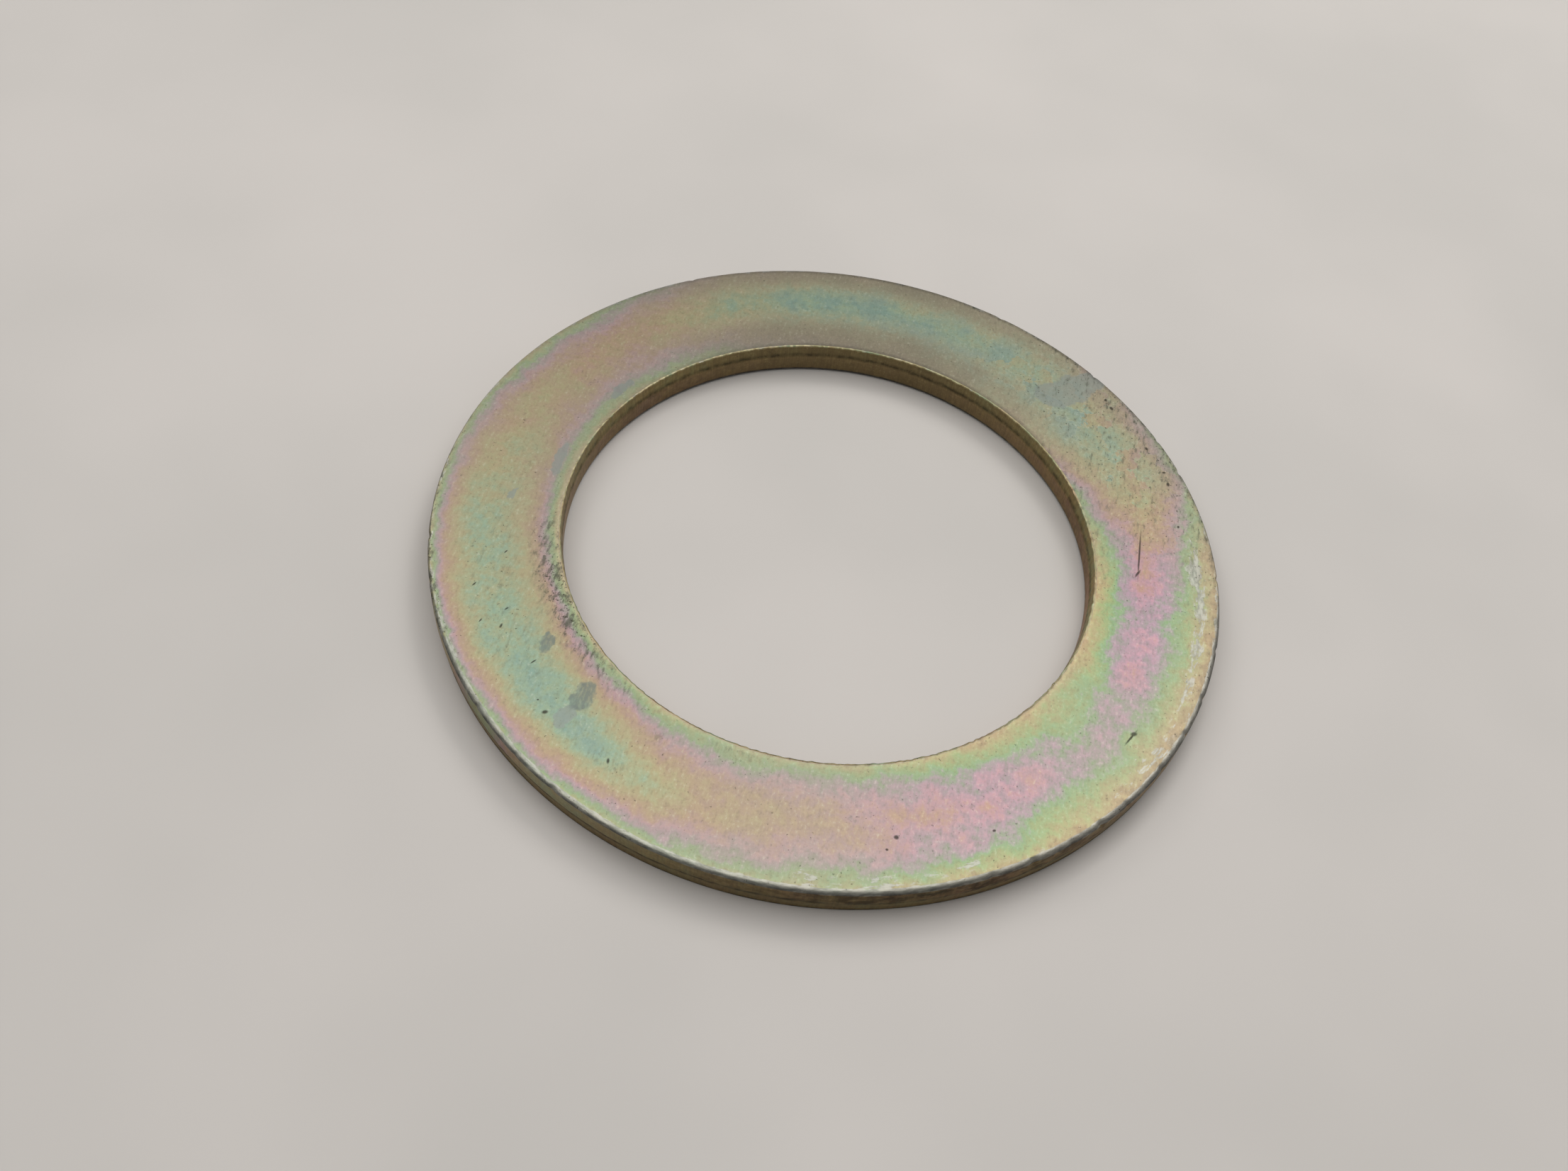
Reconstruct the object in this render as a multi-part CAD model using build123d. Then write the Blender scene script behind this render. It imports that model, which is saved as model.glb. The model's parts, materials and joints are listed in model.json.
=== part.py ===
from build123d import *
import os

# Flat washer, blanked and pierced from flat steel strip in one progressive die: one solid ring.
# Units are millimetres. The origin is the centre of the underside, +Z points out of the top face.
#
# A punched wall has three zones, named here as a press shop names them:
#   roll  the rounded edge on the side where the tool first entered the strip
#   land  the straight, burnished wall that the tool sheared
#   tear  the rest of the wall, where the steel broke and leans away from the land
# The rim was blanked from the top face down, so its roll is at the top and its tear at the bottom.
# The bore was pierced from the underside up, so its roll is at the bottom and its tear at the top.

# Overall sizes
outside_diameter = 76.2
bore_diameter = 51.3
thickness = 3.4

# Punched edges
rim_roll_radius = 0.6
bore_roll_radius = 0.45
tool_clearance = 0.2
edge_break = 0.08

# How much of the thickness is sheared cleanly before the steel breaks
rim_land_share = 0.56
bore_land_share = 0.64

# Worked out from the sizes above
rim_radius = outside_diameter / 2
bore_radius = bore_diameter / 2
rim_tear_height = thickness * (1 - rim_land_share)
bore_tear_height = thickness * bore_land_share


def ring_section():
    """Half section of the ring in the XZ plane, with the four edges still square."""
    corners = [
        (bore_radius, 0),
        (rim_radius - tool_clearance, 0),
        (rim_radius, rim_tear_height),
        (rim_radius, thickness),
        (bore_radius + tool_clearance, thickness),
        (bore_radius, bore_tear_height),
    ]
    return make_face(Plane.XZ * Polyline(*corners, close=True))


def corner(section, radius, height):
    """The vertex of the section at this radius and height."""
    return section.vertices().sort_by_distance((radius, 0, height))[0]


def punched_section():
    """The half section with its rolled edges rounded and its torn edges broken by tumbling."""
    section = ring_section()
    rounds = [
        (rim_radius, thickness, rim_roll_radius),
        (bore_radius, 0, bore_roll_radius),
        (rim_radius - tool_clearance, 0, edge_break),
        (bore_radius + tool_clearance, thickness, edge_break),
    ]
    for radius, height, round_radius in rounds:
        section = fillet(corner(section, radius, height), round_radius)
    return section


def washer():
    """The whole ring: the punched section turned once about its axis."""
    return revolve(punched_section(), axis=Axis.Z, revolution_arc=360)


os.makedirs("parts", exist_ok=True)
export_step(washer(), "parts/washer.step")
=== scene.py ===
import json
import math

import bpy
import numpy as np
from mathutils import Matrix, Vector, noise


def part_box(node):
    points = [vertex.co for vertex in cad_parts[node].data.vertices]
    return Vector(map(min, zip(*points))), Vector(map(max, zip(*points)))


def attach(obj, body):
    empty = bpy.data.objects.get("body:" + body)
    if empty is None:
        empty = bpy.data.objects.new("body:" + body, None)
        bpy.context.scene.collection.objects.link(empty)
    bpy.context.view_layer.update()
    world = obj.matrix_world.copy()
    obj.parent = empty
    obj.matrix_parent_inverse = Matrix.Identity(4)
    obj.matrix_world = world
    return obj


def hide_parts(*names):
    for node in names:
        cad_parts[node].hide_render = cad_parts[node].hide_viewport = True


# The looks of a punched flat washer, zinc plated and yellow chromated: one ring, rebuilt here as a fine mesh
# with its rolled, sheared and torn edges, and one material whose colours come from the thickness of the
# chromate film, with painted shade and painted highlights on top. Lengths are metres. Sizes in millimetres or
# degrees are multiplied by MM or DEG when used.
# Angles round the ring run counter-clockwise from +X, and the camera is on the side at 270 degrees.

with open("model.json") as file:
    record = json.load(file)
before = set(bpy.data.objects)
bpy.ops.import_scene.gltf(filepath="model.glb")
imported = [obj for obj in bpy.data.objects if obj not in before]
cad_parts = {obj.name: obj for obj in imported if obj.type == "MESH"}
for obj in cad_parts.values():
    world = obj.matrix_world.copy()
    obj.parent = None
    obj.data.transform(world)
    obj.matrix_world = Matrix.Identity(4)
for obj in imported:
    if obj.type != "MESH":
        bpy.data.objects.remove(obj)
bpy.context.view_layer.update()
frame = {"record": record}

MM = 0.001
DEG = math.pi / 180


# ---------------------------------------------------------------- sizes from the frame

def mount(name):
    """The record's mount of that name."""
    return next(m for m in frame["record"]["mounts"] if m["name"] == name)


LOW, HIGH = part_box("washer")
RIM = HIGH.x
THICK = HIGH.z - LOW.z
BORE = mount("bore")["dims"]["r_mm"] * MM
LAND_MID = mount("bore")["pos_m"][2]
LAND_LENGTH = mount("bore")["dims"]["length_mm"] * MM
BORE_ROLL_TOP = LAND_MID - LAND_LENGTH / 2
BORE_TEAR_FROM = LAND_MID + LAND_LENGTH / 2

# The punched edges, close to the CAD ring's own, in metres
ROLL_WIDTH = 0.55 * MM
ROLL_DEPTH = 0.36 * MM
BORE_ROLL_WIDTH = 0.5 * MM
RIM_TEAR_FROM = THICK * 0.44
LEAN = 0.2 * MM
FOOT = 0.1 * MM

# The burr round the top of the bore. The top face's level leaves its tallest part below the CAD ring's top.
LIP_WIDTH = 0.2 * MM
LIP_HEIGHT = 0.05 * MM
LIP_LOWEST = 0.004 * MM
LIP_TALLEST = 0.07 * MM
HEADROOM = 0.015 * MM
TOP = THICK - LIP_TALLEST - HEADROOM

# Corners of the mesh round the ring, and rows of them in each zone of its section
AROUND = 1080
ROWS = {"face": 26, "rim_roll": 10, "rim_land": 8, "rim_tear": 11, "rim_foot": 4, "under": 8,
        "bore_roll": 7, "bore_land": 6, "bore_tear": 8, "lip": 4}


# ---------------------------------------------------------------- small tools for rings of points

ANGLE = np.arange(AROUND) * 2 * math.pi / AROUND


def ripple(lowest, highest, seed):
    """A random wave round the ring, about -1 to 1, made of the whole-number waves from lowest to highest."""
    random = np.random.default_rng(seed)
    waves = np.arange(lowest, highest + 1)
    phase = random.uniform(0, 2 * math.pi, len(waves))
    size = random.uniform(0.4, 1, len(waves)) / np.sqrt(waves)
    wave = (size[:, None] * np.cos(waves[:, None] * ANGLE + phase[:, None])).sum(0)
    return wave / (2 * wave.std())


def ripples(table):
    """The sum of several random waves, each given as its size, lowest and highest wave, and seed."""
    return sum(size * ripple(lowest, highest, seed) for size, lowest, highest, seed in table)


def cloud(points, size, octaves, shift=0.0, stretch=(1, 1, 1)):
    """Smooth 3D noise at each point, about -1 to 1, in lumps of the given size."""
    scale = np.array(stretch) * size
    flat = points.reshape(-1, 3) / scale + shift
    values = [noise.fractal(Vector(p), 1.0, 2.0, octaves) for p in flat]
    return np.array(values).reshape(points.shape[:-1])


def bell(value, centre, width):
    """1 at the centre, falling off to either side as a bell of that half width."""
    return np.exp(-(((value - centre) / width) ** 2))


def bump_at(angle, centre, width):
    """1 at the centre angle, falling off as a bell of that half width, all in degrees."""
    return bell((angle - centre + 180) % 360, 180, width)


def bumps(angle, table):
    """The sum of several bells round the ring, each given as its centre, half width and height."""
    return sum(height * bump_at(angle, centre, width) for centre, width, height in table)


def smooth(low, high, value):
    """0 at low, 1 at high, and a smooth step between, whichever of the two is larger."""
    t = np.clip((value - low) / (high - low), 0, 1)
    return t * t * (3 - 2 * t)


def viewer_side(degrees, start):
    """1 on the side of the ring that faces the viewer, rising from the start angle, and 0 on the far side."""
    return smooth(start, 225, degrees) * smooth(365, 345, degrees)


# ---------------------------------------------------------------- the ring's section

NICKS = [
    # knocks in the rolled edge: angle and half width in degrees, depth in millimetres
    (238, 0.5, 0.16), (231, 0.35, 0.1), (222, 0.4, 0.12), (200, 0.4, 0.14), (192, 0.5, 0.18),
    (297, 0.45, 0.12), (303, 0.6, 0.18), (309, 0.4, 0.12), (314, 0.5, 0.22), (319, 0.35, 0.14),
    (327, 0.5, 0.16), (334, 0.35, 0.2), (341, 0.5, 0.16), (350, 0.4, 0.12), (3, 0.4, 0.16),
    (24, 0.5, 0.18), (31, 0.4, 0.12), (47, 0.35, 0.14), (66, 0.5, 0.1), (120, 0.4, 0.1),
]

# How the edges wander round the ring: size, lowest and highest wave, and seed. Sizes are shares of the roll's
# width and of the lip's height, and otherwise millimetres.
ROLL_WANDER = [(0.1, 3, 40, 11)]
LIP_WANDER = [(0.5, 2, 9, 16), (0.7, 90, 300, 17)]
RIM_TEAR_WANDER = [(0.05, 2, 12, 12), (0.035, 60, 260, 13)]
BORE_TEAR_WANDER = [(0.07, 2, 14, 14), (0.05, 50, 240, 15)]
BORE_TOP_WANDER = [(0.04, 60, 300, 18)]

# The rolled edge's width on the far side, as a share of that on the viewer's side
FAR_ROLL_SHARE = 0.35


def steps(start, end, zone):
    """A zone's rows, even from start up to, but not including, end. Either may be one number or one for each
    angle."""
    whole = np.ones(AROUND)
    return np.linspace(start * whole, end * whole, ROWS[zone], endpoint=False)


def quarter(zone):
    """Sine and cosine of a zone's rows of angles from 0 up to, but not including, 90 degrees."""
    turn = steps(0, math.pi / 2, zone)
    return np.sin(turn), np.cos(turn)


def section():
    """The ring's section at each angle: for each zone, in order round the section, its radii and heights."""
    near = viewer_side(ANGLE / DEG, 185)
    roll_width = ROLL_WIDTH * (FAR_ROLL_SHARE + (1 - FAR_ROLL_SHARE) * near) * (1 + ripples(ROLL_WANDER))
    rim_tear = RIM_TEAR_FROM + MM * ripples(RIM_TEAR_WANDER)
    bore_tear = BORE_TEAR_FROM + MM * ripples(BORE_TEAR_WANDER)
    lip_height = np.clip(LIP_HEIGHT * (1 + ripples(LIP_WANDER)), LIP_LOWEST, LIP_TALLEST)
    bore_top = BORE + LEAN + MM * ripples(BORE_TOP_WANDER)
    face_start = BORE + LEAN + LIP_WIDTH

    zones = {}
    zones["face"] = (steps(face_start, RIM - roll_width, "face"), TOP)
    sine, cosine = quarter("rim_roll")
    zones["rim_roll"] = (RIM - roll_width + roll_width * sine, TOP - ROLL_DEPTH * (1 - cosine))
    zones["rim_land"] = (RIM, steps(TOP - ROLL_DEPTH, rim_tear, "rim_land"))
    fall = steps(0, 1, "rim_tear")
    zones["rim_tear"] = (RIM - LEAN * smooth(-0.3, 1.0, fall), rim_tear + (FOOT - rim_tear) * fall)
    sine, cosine = quarter("rim_foot")
    zones["rim_foot"] = (RIM - LEAN - FOOT * (1 - cosine), FOOT * (1 - sine))
    zones["under"] = (steps(RIM - LEAN - FOOT, BORE + BORE_ROLL_WIDTH, "under"), 0)
    sine, cosine = quarter("bore_roll")
    zones["bore_roll"] = (BORE + BORE_ROLL_WIDTH * (1 - sine), BORE_ROLL_TOP * (1 - cosine))
    zones["bore_land"] = (BORE, steps(BORE_ROLL_TOP, bore_tear, "bore_land"))
    rise = steps(0, 1, "bore_tear")
    opened = BORE + (bore_top - BORE) * smooth(-0.4, 1.0, rise)
    zones["bore_tear"] = (opened, bore_tear + (TOP - bore_tear) * rise)
    across = steps(0, 1, "lip")
    crest = lip_height * np.sin(math.pi * np.sqrt(across))
    zones["lip"] = (bore_top + (face_start - bore_top) * across, TOP + crest)
    return zones


def places(radius, height):
    """The points in space of a block of radii and heights."""
    return np.stack([radius * np.cos(ANGLE), radius * np.sin(ANGLE), height], -1)


class Shape:
    """Every corner of the ring's mesh, as a block of radii and one of heights, and each zone's rows."""

    def __init__(self):
        zones = section()
        blocks = [np.broadcast_arrays(radius, height) for radius, height in zones.values()]
        self.radius = np.vstack([radius for radius, height in blocks])
        self.height = np.vstack([height for radius, height in blocks])
        self.rows, start = {}, 0
        for name in zones:
            self.rows[name] = slice(start, start + ROWS[name])
            start += ROWS[name]
        self.degrees = np.broadcast_to(ANGLE / DEG, self.radius.shape)

    def share(self):
        """Each corner's share of the rim's radius."""
        return self.radius / RIM

    def spots(self):
        """Each corner's place in space."""
        return places(self.radius, self.height)

    def run(self):
        """Each corner on the ring rolled flat: round the rim's circle, and across it by height less radius.
        Streaks that run round the ring or across it are noise stretched in these coordinates."""
        return places(np.full_like(self.radius, RIM), self.height - self.radius)

    def down(self, zone):
        """0 at a zone's first row to 1 at its last."""
        return np.linspace(0, 1, ROWS[zone])[:, None]

    def only(self, zone, values):
        """Values on one zone, and 0 elsewhere."""
        kept = np.zeros_like(self.radius)
        kept[self.rows[zone]] = values[self.rows[zone]]
        return kept


def roughen(shape):
    """Presses the real surface into the clean section: slightly wavy faces, torn walls and knocked edges."""
    radius, height, rows = shape.radius, shape.height, shape.rows
    spots = shape.spots()
    for name in ("face", "rim_roll", "lip"):
        height[rows[name]] += 0.012 * MM * cloud(spots[rows[name]], 9 * MM, 2)
    for name, outward in (("rim_tear", 1), ("bore_tear", -1)):
        torn = cloud(spots[rows[name]], 0.45 * MM, 4, stretch=(1, 1, 1.8))
        radius[rows[name]] -= outward * 0.045 * MM * (np.abs(torn) + 0.35)
    for name, outward in (("rim_land", 1), ("bore_land", -1)):
        drag = cloud(spots[rows[name]], 0.35 * MM, 2, stretch=(1, 1, 14))
        radius[rows[name]] -= outward * 0.008 * MM * (drag + 1)
    roll, land = rows["rim_roll"], rows["rim_land"]
    for centre, width, depth in NICKS:
        knock = depth * MM * bump_at(ANGLE / DEG, centre, width)
        radius[roll] -= 0.7 * knock
        height[roll] -= 0.5 * knock * smooth(RIM - ROLL_WIDTH, RIM, radius[roll])
        radius[land] -= 0.7 * knock * smooth(TOP - 1.6 * MM, TOP, height[land])


# ---------------------------------------------------------------- where the plating varies, and where shade and highlights are painted

# The chromate film round the top face: its thinnest place across the ring, as a share of the
# rim's radius, and its thickness there, at the rim and at the bore. 0 is teal, and it passes green, gold,
# pink and mauve to a second green at 0.8 and a second gold at 1. Spread says how far the thin place reaches,
# and clarity how much of the colour shows through the dull haze on top.
FILM_COLUMNS = ("angle", "thinnest_at", "thinnest", "at_rim", "at_bore", "spread", "clarity")
FILM = [
    (0, 0.805, 0.56, 1.08, 1.00, 1.2, 0.85), (10, 0.84, 0.54, 1.04, 1.00, 1.7, 0.68),
    (18, 0.825, 0.34, 1.02, 0.96, 2.0, 0.62), (26, 0.83, 0.20, 0.82, 0.74, 2.2, 0.58),
    (36, 0.84, 0.10, 0.64, 0.50, 2.0, 0.52), (50, 0.83, 0.10, 0.46, 0.36, 2.0, 0.56),
    (62, 0.82, 0.09, 0.42, 0.42, 1.8, 0.58), (75, 0.82, 0.05, 0.42, 0.50, 1.6, 0.60),
    (90, 0.86, 0.00, 0.46, 0.56, 1.5, 0.72), (104, 0.87, 0.06, 0.50, 0.62, 1.4, 0.68),
    (118, 0.865, 0.20, 0.60, 0.76, 1.6, 0.58), (132, 0.86, 0.40, 0.84, 0.92, 2.0, 0.66),
    (150, 0.85, 0.42, 0.98, 1.00, 2.1, 0.62),
    (170, 0.85, 0.28, 0.98, 1.08, 2.5, 0.55), (188, 0.855, 0.19, 0.98, 1.10, 2.8, 0.64),
    (204, 0.860, 0.14, 0.98, 1.06, 3.0, 0.74), (216, 0.860, 0.09, 0.96, 1.00, 2.5, 0.72),
    (230, 0.85, 0.05, 0.94, 0.98, 1.7, 0.72), (242, 0.865, 0.11, 0.94, 0.94, 1.4, 0.68),
    (254, 0.86, 0.38, 0.94, 0.92, 1.7, 0.55), (266, 0.84, 0.47, 0.94, 0.92, 2.0, 0.36),
    (282, 0.83, 0.52, 0.97, 0.95, 2.0, 0.50), (298, 0.82, 0.57, 1.02, 0.98, 1.8, 0.80),
    (310, 0.82, 0.62, 1.08, 1.00, 1.7, 0.70), (323, 0.85, 0.72, 1.12, 1.02, 1.4, 0.60),
    (336, 0.83, 0.64, 1.12, 1.04, 1.4, 0.70), (350, 0.80, 0.56, 1.10, 1.02, 1.1, 1.00),
]

# The film's thickness off the flat faces, and what is added to it round the rim's land
EDGE_FILM = {"rim_land": 0.40, "rim_tear": 0.32, "bore_land": 0.5, "bore_tear": 0.26, "lip": 0.28}
RIM_LAND_FILM = [(223, 8, 0.6), (230, 28, -0.2)]

# The underside has the top face's layout of colours, mirrored about half this angle
UNDER_MIRROR = 200

# Haze towards both edges of the face, and beside the rim, which at 90 degrees is painted shade that greys and
# darkens the far side of the face: centre angle, half width and amount, and for the second table the shares
# of the rim's radius where it starts and where it is full
EDGE_HAZE_AND_SHADE = [(90, 50, 0.64), (200, 55, 0.2)]
RIM_HAZE = [(350, 26, 0.25, 0.86, 0.90), (27, 17, 0.15, 0.88, 0.95)]

# Patches of worn film beside the rim: angle and half width, share of the rim's radius and half width, amount
WORN_PATCHES = [
    (352, 18, 0.950, 0.016, 0.55), (326, 14, 0.968, 0.014, 0.42), (286, 16, 0.965, 0.016, 0.40),
    (4, 6, 0.940, 0.018, 0.50),
]

# The waves of the painted highlight along the bore's lip
SPARKLE = [(1, 90, 420, 19), (0.7, 8, 60, 20)]


def around(degrees, column):
    """A column of FILM at these angles, with its corners rounded off."""
    table = np.array(FILM)
    angles, values = table[:, 0], table[:, FILM_COLUMNS.index(column)]
    near = [np.interp(degrees + shift, angles, values, period=360) for shift in range(-8, 9, 2)]
    return np.mean(near, axis=0)


def face_film(radius, degrees):
    """The film's thickness on a flat face at each radius and angle."""
    thinnest_at, spread = around(degrees, "thinnest_at") * RIM, around(degrees, "spread")
    toward_rim = np.clip((radius - thinnest_at) / (RIM - thinnest_at), 0, 1.1) ** spread
    toward_bore = np.clip((thinnest_at - radius) / (thinnest_at - BORE - LEAN), 0, 1.1) ** spread
    middle = around(degrees, "thinnest")
    rimward, boreward = around(degrees, "at_rim") - middle, around(degrees, "at_bore") - middle
    return middle + rimward * toward_rim + boreward * toward_bore


def film_thickness(shape):
    """The film's thickness at every point of the ring."""
    film = face_film(shape.radius, shape.degrees)
    under = slice(shape.rows["rim_foot"].start, shape.rows["bore_roll"].stop)
    film[under] = face_film(shape.radius[under], (UNDER_MIRROR - shape.degrees[under]) % 360)
    for name, thickness in EDGE_FILM.items():
        film[shape.rows[name]] = thickness
    film += shape.only("rim_land", bumps(shape.degrees, RIM_LAND_FILM))
    spots = shape.spots()
    return film + 0.05 * cloud(spots, 6 * MM, 2) + 0.03 * cloud(spots, 1.5 * MM, 2, shift=40)


def dullness_and_shade(shape):
    """How much of the film's colour is lost in haze, and on the far side painted shade that greys and darkens
    the face.
    """
    share, degrees = shape.share(), shape.degrees
    edges = (1 - bell(share, 0.86, 0.07)) * bumps(degrees, EDGE_HAZE_AND_SHADE)
    for centre, width, amount, start, full in RIM_HAZE:
        edges += amount * bump_at(degrees, centre, width) * smooth(start, full, share)
    edges[shape.rows["lip"]] = -1
    return 1 - around(degrees, "clarity") + edges + 0.08 * cloud(shape.spots(), 4 * MM, 3, shift=70)


def flaking(shape):
    """Where the film lies in small overlapping flakes: on the far right, between the middle and the rim."""
    return bump_at(shape.degrees, 38, 26) * smooth(0.72, 0.80, shape.share())


def wear_and_highlight(shape):
    """Where the film is rubbed off down to bare zinc, on the rolled edge and in patches beside the rim, and
    where
    bare zinc stands for a painted highlight: more of the rolled edge on the viewer's side, and the lip.
    """
    share, degrees = shape.share(), shape.degrees
    inward = (RIM - shape.radius) / ROLL_WIDTH
    # Partly painted highlight: the rolled edge is worn all round, and barer, so lighter, on the viewer's
    # side.
    rolled = (0.45 + 0.5 * viewer_side(degrees, 190)) * smooth(1.1, 0.75, inward)
    patches = sum(amount * bump_at(degrees, centre, width) * bell(share, middle, across)
                  for centre, width, middle, across, amount in WORN_PATCHES)
    # Painted highlight: bare zinc along the lip, strongest on the far side, stands for the burr catching the
    # light.
    lip = 0.36 * np.clip(0.35 + 0.65 * bump_at(degrees, 115, 75), 0, 1)
    return shape.only("rim_roll", rolled) + shape.only("face", patches) + shape.only("lip", lip)


def soil_and_shade(shape):
    """Where dark dirt and oil sit, and where shade is painted. Dirt and oil sit under the torn lines. The
    bore's wall is darker near 150 and 12 degrees. Painted shade darkens the rolled edge as it turns down to
    the wall and on the far side, the rim's wall round 292 degrees on the viewer's lower right, the foot all
    round and the bore's near edge."""
    rows, degrees = shape.rows, shape.degrees
    # Painted shade: the rim's wall is darkened round 292 degrees, on the viewer's lower right, where less
    # light falls.
    grime_and_shade = shape.only("rim_land", bumps(degrees, [(292, 34, 0.95)]))
    grime_and_shade += shape.only("bore_land", bumps(degrees, [(150, 28, 0.4), (12, 22, 0.4)]))
    # Painted shade: the rolled edge on the far side, which turns away from the viewer, is darkened.
    grime_and_shade += shape.only("rim_roll", bumps(degrees, [(75, 75, 0.5)]))
    # Painted shade: the rolled edge darkens as it turns down to the wall.
    grime_and_shade[rows["rim_roll"]] += 0.9 * smooth(0.3, 1.0, shape.down("rim_roll"))
    for name, most in (("rim_tear", 1.0), ("bore_tear", 0.8)):
        fall = shape.down(name)
        grime_and_shade[rows[name]] = most * bell(fall, 0, 0.26) + 0.22 * fall
    # Painted shade: the foot round the rim and the bore's rounded lower edge are darkened all round, as
    # contact shadow.
    for name in ("rim_foot", "bore_roll"):
        grime_and_shade[rows[name]] = 0.9
    # Painted shade: the bore's edge on the viewer's side is darkened to a thin dark line.
    edge = slice(rows["bore_tear"].stop - 1, rows["lip"].start + 3)
    grime_and_shade[edge] = bumps(degrees, [(265, 75, 0.75)])[edge]
    return grime_and_shade


def scuffing(shape):
    """Where the top face is scuffed with dark strokes: beside the bore on the left, and less on the rest of
    the left and on the far right. Also where the rolled edge is dark: on the far right as painted shade,
    where it turns away from the viewer, and on the left."""
    share, degrees = shape.share(), shape.degrees
    by_bore = bumps(degrees, [(209, 20, 0.75)]) * smooth(0.775, 0.715, share)
    left = bumps(degrees, [(206, 26, 0.16)]) * bell(share, 0.85, 0.07)
    right = bumps(degrees, [(32, 24, 0.14)]) * smooth(0.90, 0.97, share) + bumps(degrees, [(24, 30, 0.20)])
    face = np.maximum.reduce([by_bore, left, right])
    # Painted shade: on the far right the rolled edge is darkened with strokes where it turns away from the
    # viewer; on the left it is darker too.
    rolled = bumps(degrees, [(42, 45, 0.85), (194, 22, 0.85)])
    return shape.only("face", face) + shape.only("rim_roll", rolled)


def crest(shape):
    """Where the bore's lip is given a painted highlight, on the far side from the viewer."""
    strength = (0.35 + 0.65 * bump_at(shape.degrees, 128, 38)) * bump_at(shape.degrees, 100, 90)
    return shape.only("lip", strength * smooth(-0.5, 1.1, ripples(SPARKLE)))


def wall_share(shape):
    """1 on the punched walls, whose film is thicker and browner, and 0 on the flat faces. Round the rim's
    left it is
    less, as painted light: that side of the wall shows lighter."""
    # Painted light: round 230 degrees the rim's wall keeps less of the browner wall colour, so the left of
    # the wall shows lighter.
    wall = shape.only("rim_land", 1 - bumps(shape.degrees, [(230, 20, 0.55)]))
    for name in ("rim_tear", "bore_land", "bore_tear"):
        wall[shape.rows[name]] = 1
    for name in ("rim_foot", "bore_roll"):
        wall[shape.rows[name]] = 0.6
    return wall


def ring_faces(row_count):
    """Four-cornered faces, facing outward, between each row and the next and from the last to the first."""
    row, column = np.meshgrid(np.arange(row_count), np.arange(AROUND), indexing="ij")
    next_row, next_column = (row + 1) % row_count, (column + 1) % AROUND
    corners = [(row, column), (next_row, column), (next_row, next_column), (row, next_column)]
    return np.stack([r * AROUND + c for r, c in corners], -1).reshape(-1, 4)


# What the material reads at each point of the ring
FIELDS = {"film": film_thickness, "haze_and_shade": dullness_and_shade, "flake": flaking, "bare_and_highlight": wear_and_highlight, "grime_and_shade": soil_and_shade,
          "wall": wall_share, "crest": crest, "scuff": scuffing}


def washer_piece():
    """The whole ring as one closed mesh, with what its material needs to know at each point."""
    shape = Shape()
    roughen(shape)
    mesh = bpy.data.meshes.new("washer_ring")
    mesh.from_pydata(shape.spots().reshape(-1, 3).tolist(), [], ring_faces(len(shape.radius)).tolist())
    mesh.polygons.foreach_set("use_smooth", np.ones(len(mesh.polygons), bool))
    for name, values in FIELDS.items():
        layer = mesh.attributes.new(name, "FLOAT", "POINT")
        layer.data.foreach_set("value", values(shape).astype(np.float32).ravel())
    layer = mesh.attributes.new("run", "FLOAT_VECTOR", "POINT")
    layer.data.foreach_set("vector", shape.run().astype(np.float32).ravel())
    piece = bpy.data.objects.new("washer_ring", mesh)
    bpy.context.scene.collection.objects.link(piece)
    return piece


# ---------------------------------------------------------------- materials

# Colours as they show on a screen, 0 to 255
COLOURS = {
    # The next two colours grey and darken the film as haze and tarnish, and on the far side as painted shade.
    "haze_and_shade": (158, 154, 134), "tarnish_and_shade": (112, 101, 85),
    "dark grain": (108, 106, 86), "light grain": (212, 210, 190), "flake edge": (206, 208, 192),
    "patch": (140, 147, 140), "stain": (112, 122, 116),
    # The next two zinc colours show bare zinc, and also the painted highlight on the rolled edge's viewer
    # side and along the lip.
    "dark zinc": (132, 133, 128), "light zinc": (176, 175, 166),
    # Of the next line's colours, the last is the painted highlight along the bore's lip.
    "wall": (230, 212, 174), "drag line": (92, 80, 58), "crest": (240, 230, 186),
    # Of the next line's colours, the first darkens scuffs and, on the rolled edge at the far right, painted
    # shade; the last darkens dirt and the painted shade along the foot, the rolled edge, the rim's wall at
    # the viewer's lower right and the bore's near edge.
    "scuff": (92, 91, 80), "hair": (88, 90, 76), "dirt_and_shade": (112, 114, 118),
    "speck": (70, 68, 54), "pit": (48, 44, 36),
    "dark floor": (191, 187, 182), "light floor": (199, 194, 189),
}

# Colours of the film on zinc as it thickens, at FILM's thickness divided by FILM_SPAN
FILM_SPAN = 1.3
FILM_COLOURS = [
    (0.00, (126, 160, 148)), (0.12, (144, 170, 144)), (0.20, (160, 168, 132)), (0.30, (174, 163, 122)),
    (0.42, (178, 149, 120)), (0.50, (178, 142, 130)), (0.58, (184, 144, 156)), (0.65, (168, 144, 156)),
    (0.71, (154, 150, 146)), (0.78, (138, 168, 126)), (0.86, (154, 168, 120)), (0.95, (174, 165, 122)),
    (1.05, (176, 151, 116)), (1.15, (160, 138, 112)), (1.25, (142, 130, 108)),
]

# The direction in which the sheet was rolled, which its fine grain follows, in degrees from +X, and how far
# the rolling drew the grain out
ROLLING = 84
DRAWN_OUT = 2.6

# The size of the flakes in which the film lies on the far right
FLAKE_SIZE = 3.0 * MM

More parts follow.
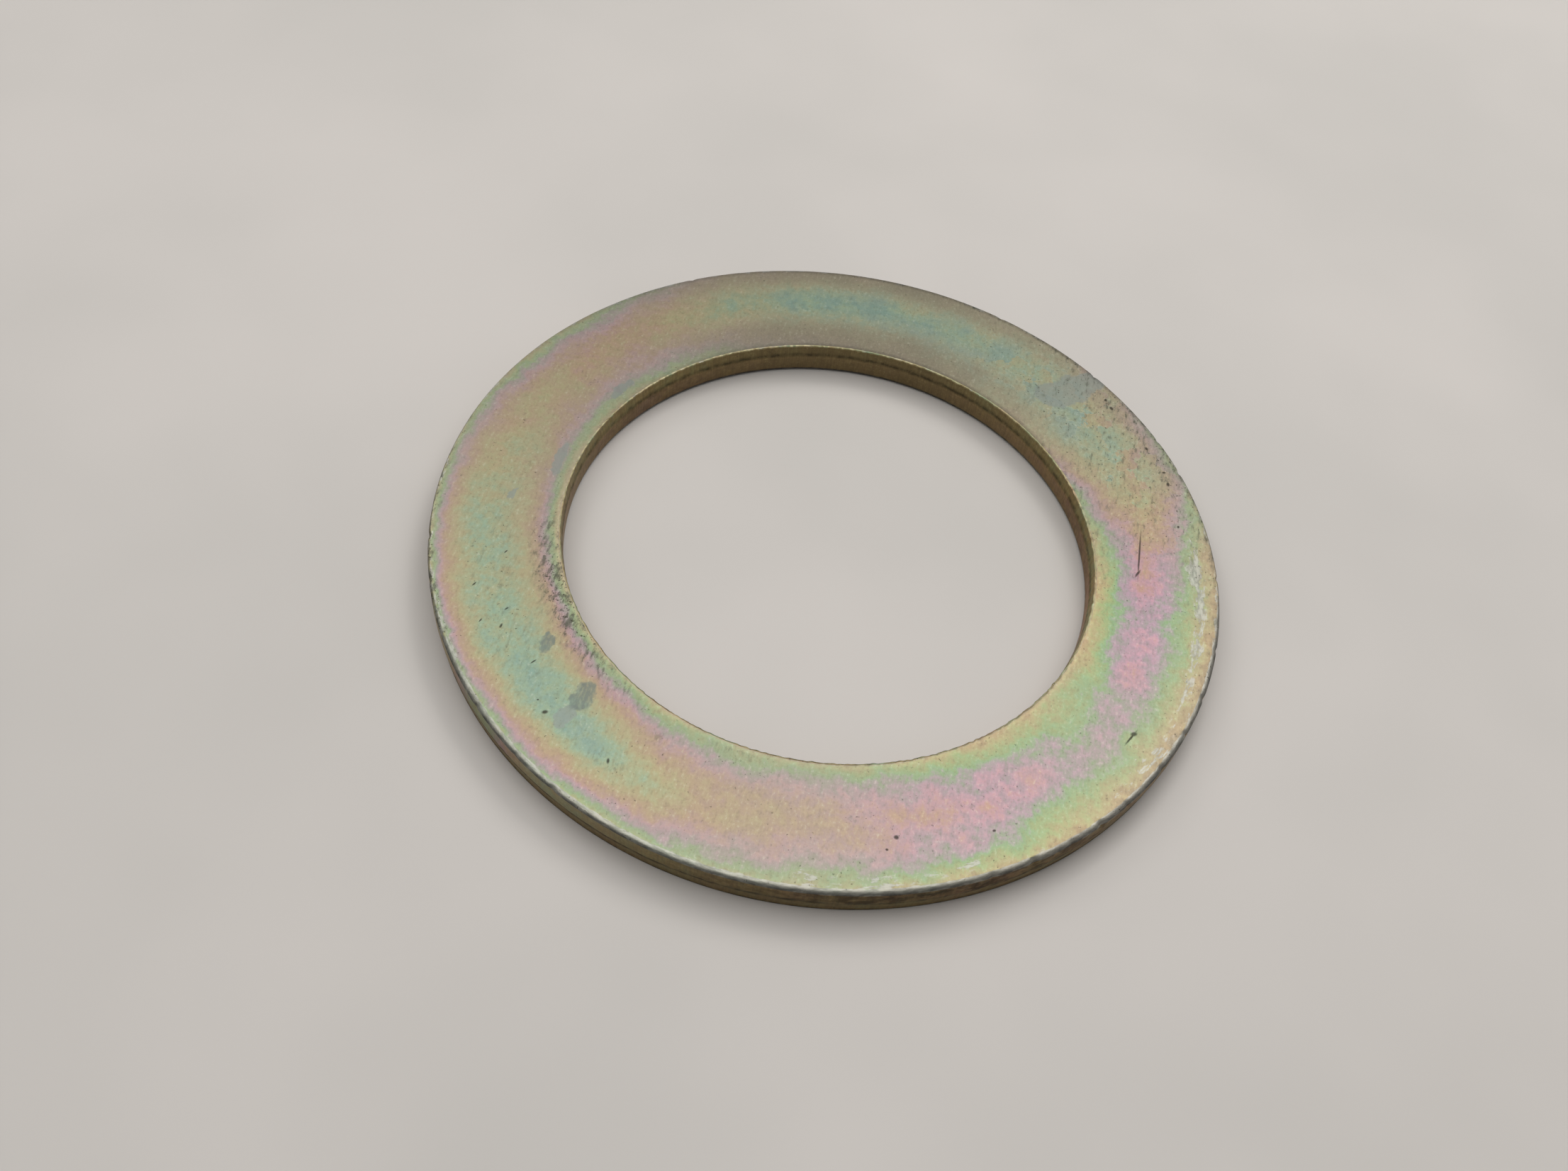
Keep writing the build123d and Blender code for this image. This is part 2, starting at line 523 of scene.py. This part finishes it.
# Marks on the top face: angle, share of the rim's radius, length and width in millimetres, turn in degrees
STAINS = [(229.6, 0.79, 3.4, 1.9, 70), (217, 0.780, 2.0, 1.3, 70)]
GREY_PATCHES = [
    (231, 0.855, 2.8, 1.5, 60), (47, 0.90, 5.0, 4.2, 50), (48, 0.84, 3.6, 4.0, 60),
    (46.5, 0.96, 4.0, 3.0, 50), (172, 0.725, 4.4, 1.0, 85), (148, 0.722, 3.2, 1.0, 60),
    (183, 0.81, 1.8, 0.7, 80),
]
BLOTCHES = [
    (199, 0.712, 4.4, 1.6, 110), (211, 0.708, 4.0, 1.7, 120), (226, 0.706, 3.6, 1.4, 140),
    (190, 0.708, 2.4, 1.0, 100), (233, 0.702, 1.8, 0.7, 145), (258, 0.702, 3.8, 0.7, 168),
    (245, 0.752, 1.8, 0.9, 150), (241, 0.872, 3.2, 1.3, 160), (201.5, 0.987, 2.4, 0.5, 111),
    (186, 0.984, 2.4, 0.5, 96), (193, 0.986, 1.2, 0.4, 103), (23, 0.950, 1.4, 1.0, 100),
    (41, 0.955, 1.8, 0.9, 130),
]
PITS = [
    (328.9, 0.899, 0.6, 0.4, 30), (328.1, 0.899, 1.8, 0.16, 57), (285.7, 0.867, 0.4, 0.36, 0),
    (228.4, 0.882, 0.5, 0.34, 20), (226, 0.876, 0.18, 0.16, 0), (202, 0.896, 0.5, 0.14, 60),
    (209, 0.903, 0.4, 0.14, 70), (208, 0.836, 0.4, 0.16, 50), (211, 0.862, 0.5, 0.2, 80),
    (196, 0.812, 0.4, 0.14, 60), (219.5, 0.832, 0.6, 0.14, 50), (241, 0.868, 0.5, 0.24, 95),
    (22, 0.948, 0.5, 0.3, 90), (24.5, 0.955, 0.34, 0.26, 20), (30, 0.951, 0.44, 0.3, 110),
    (40, 0.950, 0.5, 0.34, 120), (42, 0.957, 0.34, 0.24, 60), (13, 0.925, 0.3, 0.22, 70),
    (284, 0.895, 0.24, 0.2, 0), (300, 0.90, 0.3, 0.2, 30),
]
SCRATCHES = [(6.6, 0.8005, 5.4, 0.16, 86), (2.0, 0.790, 1.0, 0.22, 62)]
BRIGHT_CHIPS = [
    (4, 0.937, 3.0, 1.4, 94), (357, 0.950, 3.4, 1.3, 86), (349, 0.950, 3.0, 1.2, 80),
    (341, 0.957, 2.6, 1.0, 70), (328, 0.975, 3.2, 0.9, 58), (325, 0.945, 2.6, 0.8, 58),
    (273, 0.958, 2.4, 0.6, 5), (295, 0.960, 2.6, 0.8, 28), (283, 0.975, 2.2, 0.6, 15),
]


def shade(red, green, blue):
    """A colour given as it shows on a screen, 0 to 255, as linear light with full alpha."""
    shares = [value / 255 for value in (red, green, blue)]
    return (*(s / 12.92 if s <= 0.04 else ((s + 0.055) / 1.055) ** 2.4 for s in shares), 1)


def tint(name):
    """One of COLOURS, as linear light."""
    return shade(*COLOURS[name])


class Graph:
    """A material's node tree, with a short call for each kind of node that these materials use."""

    def __init__(self, name):
        self.material = bpy.data.materials.new(name)
        self.material.use_nodes = True
        self.tree = self.material.node_tree
        self.shader = self.tree.nodes["Principled BSDF"]
        self.place = self.node("ShaderNodeTexCoord").outputs["Object"]

    def node(self, kind, inputs=None, **settings):
        made = self.tree.nodes.new(kind)
        for key, value in settings.items():
            setattr(made, key, value)
        for key, value in (inputs or {}).items():
            self.feed(made.inputs[key], value)
        return made

    def feed(self, socket, value):
        if isinstance(value, bpy.types.NodeSocket):
            self.tree.links.new(value, socket)
        else:
            socket.default_value = value

    def attribute(self, name):
        return self.node("ShaderNodeAttribute", attribute_name=name).outputs["Fac"]

    def noise(self, size, detail, roughness=0.6, where=None, stretch=None):
        """Noise from 0 to 1 in lumps of this size, in metres."""
        where = self.place if where is None else where
        if stretch:
            stretched = self.node("ShaderNodeVectorMath", {0: where, 1: stretch}, operation="MULTIPLY")
            where = stretched.outputs[0]
        inputs = {"Vector": where, "Scale": 1 / size, "Detail": detail, "Roughness": roughness}
        return self.node("ShaderNodeTexNoise", inputs).outputs["Fac"]

    def flakes(self, where, **settings):
        """The pattern of flakes, in cells of FLAKE_SIZE."""
        inputs = {"Vector": where, "Scale": 1 / FLAKE_SIZE}
        return self.node("ShaderNodeTexVoronoi", inputs, **settings).outputs

    def math(self, operation, first, second, clamp=False):
        node = self.node("ShaderNodeMath", {0: first, 1: second}, operation=operation, use_clamp=clamp)
        return node.outputs[0]

    def plus(self, first, second, clamp=False):
        return self.math("ADD", first, second, clamp)

    def times(self, first, second, clamp=False):
        return self.math("MULTIPLY", first, second, clamp)

    def larger(self, first, second):
        return self.math("MAXIMUM", first, second)

    def total(self, parts):
        """The sum of several values, each times its weight."""
        value = self.times(*parts[0])
        for part, weight in parts[1:]:
            value = self.plus(value, self.times(part, weight))
        return value

    def ease(self, value, low, high, start=0.0, end=1.0):
        """Maps value from low..high to start..end in a smooth step."""
        inputs = {"Value": value, "From Min": low, "From Max": high, "To Min": start, "To Max": end}
        return self.node("ShaderNodeMapRange", inputs, interpolation_type="SMOOTHSTEP").outputs["Result"]

    def mix(self, factor, first, second, blend="MIX"):
        """Mixes two colours."""
        node = self.node("ShaderNodeMix", data_type="RGBA", blend_type=blend)
        for socket, value in ((node.inputs[0], factor), (node.inputs[6], first), (node.inputs[7], second)):
            self.feed(socket, value)
        return node.outputs[2]

    def ramp(self, value, stops):
        """A colour ramp through (position, colour) stops."""
        node = self.node("ShaderNodeValToRGB", {"Fac": value})
        elements = node.color_ramp.elements
        elements[0].position, elements[0].color = stops[0]
        elements[1].position, elements[1].color = stops[-1]
        for position, colour in stops[1:-1]:
            elements.new(position).color = colour
        return node.outputs["Color"]

    def warp(self, size, reach):
        """The object's own coordinates, pushed about by noise of this size, up to this far."""
        inputs = {"Vector": self.place, "Scale": 1 / size, "Detail": 5, "Roughness": 0.6}
        colour = self.node("ShaderNodeTexNoise", inputs).outputs["Color"]
        middle = (0.5, 0.5, 0.5)
        push = self.node("ShaderNodeVectorMath", {0: colour, 1: middle}, operation="SUBTRACT").outputs[0]
        push = self.node("ShaderNodeVectorMath", {0: push, "Scale": 2 * reach}, operation="SCALE").outputs[0]
        return self.node("ShaderNodeVectorMath", {0: self.place, 1: push}, operation="ADD").outputs[0]

    def spot(self, where, angle, radius, length, width, turn, edge):
        """1 inside an oval mark on the top face, at this angle in degrees and this share of the rim's radius.
        Edge is how far, as a share of the mark, it fades to either side of its outline."""
        centre = (radius * RIM * math.cos(angle * DEG), radius * RIM * math.sin(angle * DEG), TOP)
        inputs = {"Vector": where, "Location": centre, "Rotation": (0, 0, turn * DEG)}
        inputs["Scale"] = (length / 2 * MM, width / 2 * MM, 1.2 * MM)
        local = self.node("ShaderNodeMapping", inputs, vector_type="TEXTURE").outputs[0]
        away = self.node("ShaderNodeVectorMath", {0: local}, operation="LENGTH").outputs["Value"]
        return self.ease(away, 1 + edge, 1 - edge)

    def marks(self, where, table, edge):
        """1 inside any of the marks of a table."""
        value = self.spot(where, *table[0], edge)
        for mark in table[1:]:
            value = self.larger(value, self.spot(where, *mark, edge))
        return value


class Plating(Graph):
    """Zinc plate under a yellow chromate film. Each step takes the colour so far and returns it with one more
    thing on top. What the surface's gloss and relief need again is kept on the way."""

    def __init__(self):
        super().__init__("yellow_zinc")
        self.flake, self.grime_and_shade = self.attribute("flake"), self.attribute("grime_and_shade")
        self.scuff, self.crest = self.attribute("scuff"), self.attribute("crest")
        self.run = self.node("ShaderNodeAttribute", attribute_name="run").outputs["Vector"]
        self.lumps = self.noise(3.2 * MM, 4, 0.55)
        self.mottle = self.noise(0.8 * MM, 5)
        self.grain = self.noise(0.25 * MM, 3)
        self.ragged = self.warp(1.1 * MM, 1.6 * MM)
        self.wavy = self.warp(1.1 * MM, 0.8 * MM)
        inputs = {"Vector": self.place, "Rotation": (0, 0, ROLLING * DEG), "Scale": (DRAWN_OUT, 1, 1)}
        self.sheet = self.node("ShaderNodeMapping", inputs, vector_type="TEXTURE").outputs[0]
        self.drawn = self.noise(0.3 * MM, 4, where=self.sheet)

    def film(self):
        """The film's colour, which follows from its thickness, under haze and tarnish that on the far side
        are partly painted shade.
        """
        cell = self.node("ShaderNodeSeparateColor", {"Color": self.flakes(self.ragged)["Color"]}).outputs[0]
        self.step = self.times(self.math("SUBTRACT", cell, 0.5), self.times(self.flake, 0.40))
        thickness = self.plus(self.attribute("film"), self.step)
        for field, reach in ((self.lumps, 0.07), (self.mottle, 0.035), (self.drawn, 0.025)):
            thickness = self.plus(thickness, self.ease(field, 0.25, 0.75, -reach, reach))
        stops = [(at / FILM_SPAN, shade(*rgb)) for at, rgb in FILM_COLOURS]
        colour = self.ramp(self.math("DIVIDE", thickness, FILM_SPAN), stops)
        uneven = self.ease(self.mottle, 0.3, 0.7, -0.04, 0.04)
        haze_and_shade = self.plus(self.times(self.attribute("haze_and_shade"), 0.9), uneven, clamp=True)
        # Haze greys the film and past 0.55 darkens it towards tarnish; on the far side this is painted shade.
        colour = self.mix(haze_and_shade, colour, tint("haze_and_shade"))
        return self.mix(self.ease(haze_and_shade, 0.55, 1.05, 0.0, 0.62), colour, tint("tarnish_and_shade"))

    def grained(self, colour):
        """Light and dark in the grain, and pale edges round the flakes."""
        fleck = self.total([(self.drawn, 0.55), (self.grain, 0.45)])
        colour = self.mix(self.ease(fleck, 0.5, 0.68, 0.0, 0.32), colour, tint("dark grain"))
        colour = self.mix(self.ease(fleck, 0.48, 0.3, 0.0, 0.28), colour, tint("light grain"))
        distance = self.flakes(self.ragged, feature="DISTANCE_TO_EDGE")["Distance"]
        edges = self.times(self.ease(distance, 0.05, 0.0), self.flake)
        return self.mix(self.times(edges, 0.14), colour, tint("flake edge"))

    def stained(self, colour):
        """Stains and patches, where the film is thin and grey."""
        colour = self.mix(self.times(self.marks(self.wavy, GREY_PATCHES, 0.1), 0.72), colour, tint("patch"))
        stain = self.marks(self.wavy, STAINS, 0.15)
        return self.mix(self.times(stain, self.ease(self.drawn, 0.35, 0.6, 0.5, 0.85)), colour, tint("stain"))

    def bared_and_highlighted(self, colour):
        """Bare zinc, in streaks where the film is rubbed off and in chips beside the rim, and as painted
        highlight on the rolled edge's viewer side and along the lip.
        """
        streak = self.noise(0.35 * MM, 4, 0.65, where=self.run, stretch=(0.3, 0.3, 1))
        worn_and_highlight = self.plus(self.attribute("bare_and_highlight"), self.times(self.marks(self.ragged, BRIGHT_CHIPS, 0.5), 0.3))
        worn_and_highlight = self.plus(worn_and_highlight, self.ease(streak, 0.3, 0.7, -0.32, 0.32))
        self.worn_and_highlight = self.ease(worn_and_highlight, 0.42, 0.66)
        zinc = self.mix(self.ease(streak, 0.35, 0.65), tint("dark zinc"), tint("light zinc"))
        return self.mix(self.times(self.worn_and_highlight, 0.8), colour, zinc)

    def walled(self, colour):
        """The punched walls, browner and streaked down the punch's travel, and the painted highlight along
        the lip's crest.
        """
        brown = self.mix(1.0, colour, tint("wall"), "MULTIPLY")
        drag = self.noise(0.22 * MM, 3, where=self.run, stretch=(1, 1, 0.1))
        brown = self.mix(self.ease(drag, 0.35, 0.75, 0.0, 0.4), brown, tint("drag line"))
        colour = self.mix(self.attribute("wall"), colour, brown)
        # Painted highlight: the lip's crest is mixed towards a pale gold.
        return self.mix(self.times(self.crest, 0.9), colour, tint("crest"))

    def dirtied_and_shaded(self, colour):
        """Dark strokes and hairs along the grain, which on the far right's rolled edge are painted shade, and
        dirt with painted shade.
        """
        strokes = self.ease(self.noise(0.4 * MM, 4, 0.65, where=self.sheet), 0.46, 0.6)
        scuffed = self.plus(self.scuff, self.times(self.marks(self.wavy, BLOTCHES, 0.6), 0.55))
        scuffed = self.times(scuffed, strokes, clamp=True)
        colour = self.mix(self.times(scuffed, 0.75), colour, tint("scuff"))
        hairs = self.ease(self.noise(0.4 * MM, 3, where=self.sheet), 0.60, 0.67)
        hair_crowd = self.plus(self.times(self.scuff, 2.2), self.times(self.flake, 0.3), clamp=True)
        colour = self.mix(self.times(hairs, self.times(hair_crowd, 0.7)), colour, tint("hair"))
        smear = self.noise(0.6 * MM, 3, where=self.run, stretch=(0.5, 0.5, 1))
        # The dirt mask carries painted shade as well: the foot, the rolled edge, the rim's wall at the
        # viewer's lower right and the bore's near edge are darkened by it.
        self.dirt_and_shade = self.times(self.grime_and_shade, self.ease(smear, 0.34, 0.64, 0.42, 1.0), clamp=True)
        return self.mix(self.dirt_and_shade, colour, tint("dirt_and_shade"), "MULTIPLY")

    def pitted(self, colour):
        """Dark specks, which crowd where the face is dirty, scuffed or flaked and where shade is painted, and
        pits and scratches.
        """
        more = self.times(self.larger(self.scuff, self.times(self.flake, 0.3)), 0.1)
        specks = self.ease(self.plus(self.noise(0.3 * MM, 2), more), 0.67, 0.72)
        crowd = self.plus(self.larger(self.grime_and_shade, self.flake), self.scuff)
        crowd = self.plus(self.ease(self.lumps, 0.38, 0.62, 0.1, 0.8), crowd, clamp=True)
        specks = self.times(specks, crowd)
        pits = self.marks(self.place, PITS + SCRATCHES, 0.5)
        self.holes = self.larger(pits, specks)
        colour = self.mix(self.times(specks, 0.8), colour, tint("speck"))
        return self.mix(self.times(pits, 0.85), colour, tint("pit"))

    def gloss(self):
        """The roughness: bare metal and the painted highlights are a little smoother, and dirt and painted
        shade rougher.
        """
        rough = self.ease(self.mottle, 0.25, 0.75, 0.40, 0.50)
        rough = self.math("SUBTRACT", rough, self.times(self.larger(self.worn_and_highlight, self.crest), 0.06))
        return self.plus(rough, self.times(self.dirt_and_shade, 0.2), clamp=True)

    def relief(self):
        """The normal: fine grain, raised flakes, and hollows where the metal is worn or pitted, and also
        under the painted highlight on the rolled edge and lip.
        """
        height = self.total([(self.grain, 0.3), (self.mottle, 0.5), (self.drawn, 0.4), (self.step, 2.0),
                             (self.worn_and_highlight, -0.15), (self.holes, -1.0)])
        bump = {"Height": height, "Strength": 0.6, "Distance": 0.03 * MM}
        return self.node("ShaderNodeBump", bump).outputs["Normal"]


def plated_zinc():
    """The washer's material: film colours with painted shade in their haze, grain, stains, wear with painted
    highlights, walls with a painted highlight on the lip, dirt with painted shade, and pits, one over
    another.
    """
    g = Plating()
    colour = g.film()
    for layer in (g.grained, g.stained, g.bared_and_highlighted, g.walled, g.dirtied_and_shaded, g.pitted):
        colour = layer(colour)
    g.feed(g.shader.inputs["Base Color"], colour)
    g.feed(g.shader.inputs["Roughness"], g.gloss())
    g.feed(g.shader.inputs["Normal"], g.relief())
    g.shader.inputs["Metallic"].default_value = 0.8
    return g.material


def pale_floor():
    """A plain pale matt tabletop."""
    g = Graph("pale_floor")
    uneven = g.ease(g.noise(60 * MM, 3, 0.55), 0.3, 0.7)
    g.feed(g.shader.inputs["Base Color"], g.mix(uneven, tint("dark floor"), tint("light floor")))
    g.shader.inputs["Roughness"].default_value = 0.65
    g.shader.inputs["Specular IOR Level"].default_value = 0.25
    return g.material


# ---------------------------------------------------------------- the studio

FLOOR_SIZE = 6.0

# Soft boxes that face the washer: name, place, width and depth, power and colour
SOFT_BOXES = [
    ("overhead_box", (-0.04, 0.05, 0.52), (0.90, 0.43), 1.98, (1.0, 0.985, 0.965)),
    ("left_box", (-0.38, 0.36, 0.48), (0.26, 0.26), 0.68, (1.0, 0.985, 0.965)),
    ("right_box", (0.36, 0.34, 0.48), (0.26, 0.26), 0.54, (1.0, 0.985, 0.965)),
    ("back_box", (0.10, 0.32, 0.34), (0.16, 0.16), 0.5, (1.0, 0.99, 0.975)),
]

# The room's light, which grows from one strength to the other towards a direction behind and above the washer
ROOM_COLOUR = (0.97, 0.98, 1.0, 1)
ROOM_DARKEST, ROOM_BRIGHTEST = 0.20, 0.30
ROOM_BRIGHT_SIDE = (0.0, 0.8, 0.6)


def floor_piece():
    """The tabletop that the washer lies on, level with its underside."""
    half = FLOOR_SIZE / 2
    mesh = bpy.data.meshes.new("floor")
    corners = [(-half, -half, LOW.z), (half, -half, LOW.z), (half, half, LOW.z), (-half, half, LOW.z)]
    mesh.from_pydata(corners, [], [(0, 1, 2, 3)])
    mesh.materials.append(pale_floor())
    piece = bpy.data.objects.new("floor", mesh)
    bpy.context.scene.collection.objects.link(piece)
    return piece


def soft_light(name, place, size, power, colour):
    """A soft box of this width and depth that faces the washer."""
    lamp = bpy.data.lights.new(name, "AREA")
    lamp.shape = "RECTANGLE"
    lamp.size, lamp.size_y = size
    lamp.energy = power
    lamp.color = colour
    holder = bpy.data.objects.new(name, lamp)
    holder.location = place
    holder.rotation_mode = "QUATERNION"
    holder.rotation_quaternion = (-Vector(place)).to_track_quat("-Z", "Y")
    bpy.context.scene.collection.objects.link(holder)
    return holder


def studio_light():
    """One big soft box overhead, smaller ones behind on the left and right, and a low one behind that lights
    without a reflection, in a room that is darker on the viewer's side."""
    boxes = {box[0]: soft_light(*box) for box in SOFT_BOXES}
    boxes["back_box"].visible_glossy = False
    world = bpy.data.worlds.new("room")
    world.use_nodes = True
    tree = world.node_tree
    direction = tree.nodes.new("ShaderNodeTexCoord").outputs["Generated"]
    lean = tree.nodes.new("ShaderNodeVectorMath")
    lean.operation = "DOT_PRODUCT"
    lean.inputs[1].default_value = Vector(ROOM_BRIGHT_SIDE).normalized()
    tree.links.new(direction, lean.inputs[0])
    level = tree.nodes.new("ShaderNodeMapRange")
    levels = {"From Min": -1, "From Max": 1, "To Min": ROOM_DARKEST, "To Max": ROOM_BRIGHTEST}
    for key, value in levels.items():
        level.inputs[key].default_value = value
    tree.links.new(lean.outputs["Value"], level.inputs["Value"])
    background = tree.nodes["Background"]
    background.inputs["Color"].default_value = ROOM_COLOUR
    tree.links.new(level.outputs["Result"], background.inputs["Strength"])
    bpy.context.scene.world = world


# The viewing angle: how high the camera looks from, how far it leans, the point of the top face that it looks
# at and how far away it is, both in rim radii, and its lens and sensor in millimetres
CAMERA_ELEVATION = 52.0
CAMERA_ROLL = 9.1
CAMERA_AIM = (-0.096, -0.194)
CAMERA_DISTANCE = 3.66
CAMERA_LENS = 34.2
CAMERA_SENSOR = 36


def view_camera():
    """The camera, hand held near the washer, leaning a little."""
    data = bpy.data.cameras.new("camera")
    data.lens = CAMERA_LENS
    data.sensor_width = CAMERA_SENSOR
    data.clip_start = 5 * MM
    holder = bpy.data.objects.new("camera", data)
    tilt, roll = CAMERA_ELEVATION * DEG, CAMERA_ROLL * DEG
    back = Vector((0, -math.cos(tilt), math.sin(tilt)))
    level, raised = Vector((1, 0, 0)), Vector((0, math.sin(tilt), math.cos(tilt)))
    right = math.cos(roll) * level + math.sin(roll) * raised
    up = math.cos(roll) * raised - math.sin(roll) * level
    aim = Vector((CAMERA_AIM[0] * RIM, CAMERA_AIM[1] * RIM, THICK))
    turn = Matrix((right, up, back)).transposed().to_4x4()
    holder.matrix_world = Matrix.Translation(aim + back * CAMERA_DISTANCE * RIM) @ turn
    bpy.context.scene.collection.objects.link(holder)
    bpy.context.scene.camera = holder


ring = washer_piece()
ring.data.materials.append(plated_zinc())
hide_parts("washer")
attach(ring, "root")
floor_piece()

studio_light()
view_camera()
bpy.context.scene.view_settings.view_transform = "Standard"
